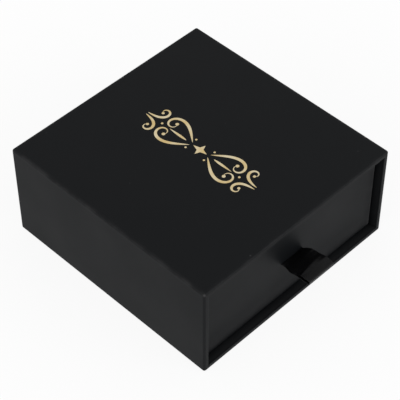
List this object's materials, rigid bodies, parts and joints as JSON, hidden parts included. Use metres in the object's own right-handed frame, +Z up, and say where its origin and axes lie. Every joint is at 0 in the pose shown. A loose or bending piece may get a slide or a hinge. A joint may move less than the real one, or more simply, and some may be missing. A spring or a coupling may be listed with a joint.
{
  "type": "sliding drawer gift box",
  "caption": "Rigid paper-covered gift box: a square sleeve, closed at the back, with a board drawer that slides out of its mouth by a satin ribbon loop.",
  "frame": {"origin": "middle of the sleeve's underside, on the surface the box stands on", "axes": "+X to the right along the drawer front, -Y the way the drawer opens, +Z up"},
  "size_m": [0.1, 0.1134, 0.0445],
  "materials": {
    "black_wrap_paper": "black soft-touch laminated wrapping paper, matt with a faint sheen",
    "black_lining_paper": "black uncoated lining paper with a fine tooth",
    "greyboard": "bare grey recycled board",
    "stay_tape": "brown gummed paper tape",
    "satin_ribbon": "black satin with a soft sheen across the weave",
    "gold_foil": "bright hot-stamped gold foil"
  },
  "bodies": {
    "sleeve": {"sleeve_top_board": "greyboard", "sleeve_bottom_board": "greyboard", "sleeve_left_board": "greyboard", "sleeve_right_board": "greyboard", "sleeve_rear_board": "greyboard", "sleeve_corner_stays": "stay_tape", "sleeve_rear_stays": "stay_tape", "sleeve_wrap": "black_wrap_paper", "sleeve_base_sheet": "black_lining_paper", "sleeve_liner": "black_lining_paper", "sleeve_rear_liner": "black_lining_paper", "lid_foil_ornament": "gold_foil"},
    "drawer": {"drawer_base_board": "greyboard", "drawer_front_board": "greyboard", "drawer_rear_board": "greyboard", "drawer_left_board": "greyboard", "drawer_right_board": "greyboard", "drawer_corner_stays": "stay_tape", "drawer_wrap": "black_wrap_paper", "drawer_base_liner": "black_lining_paper", "ribbon_pull": "satin_ribbon", "ribbon_anchor_patch": "black_lining_paper"}
  },
  "joints": [
    {"name": "drawer_slide", "type": "slide", "parent": "sleeve", "child": "drawer", "axis": [0, -1, 0], "range_m": [0, 0.09]}
  ]
}
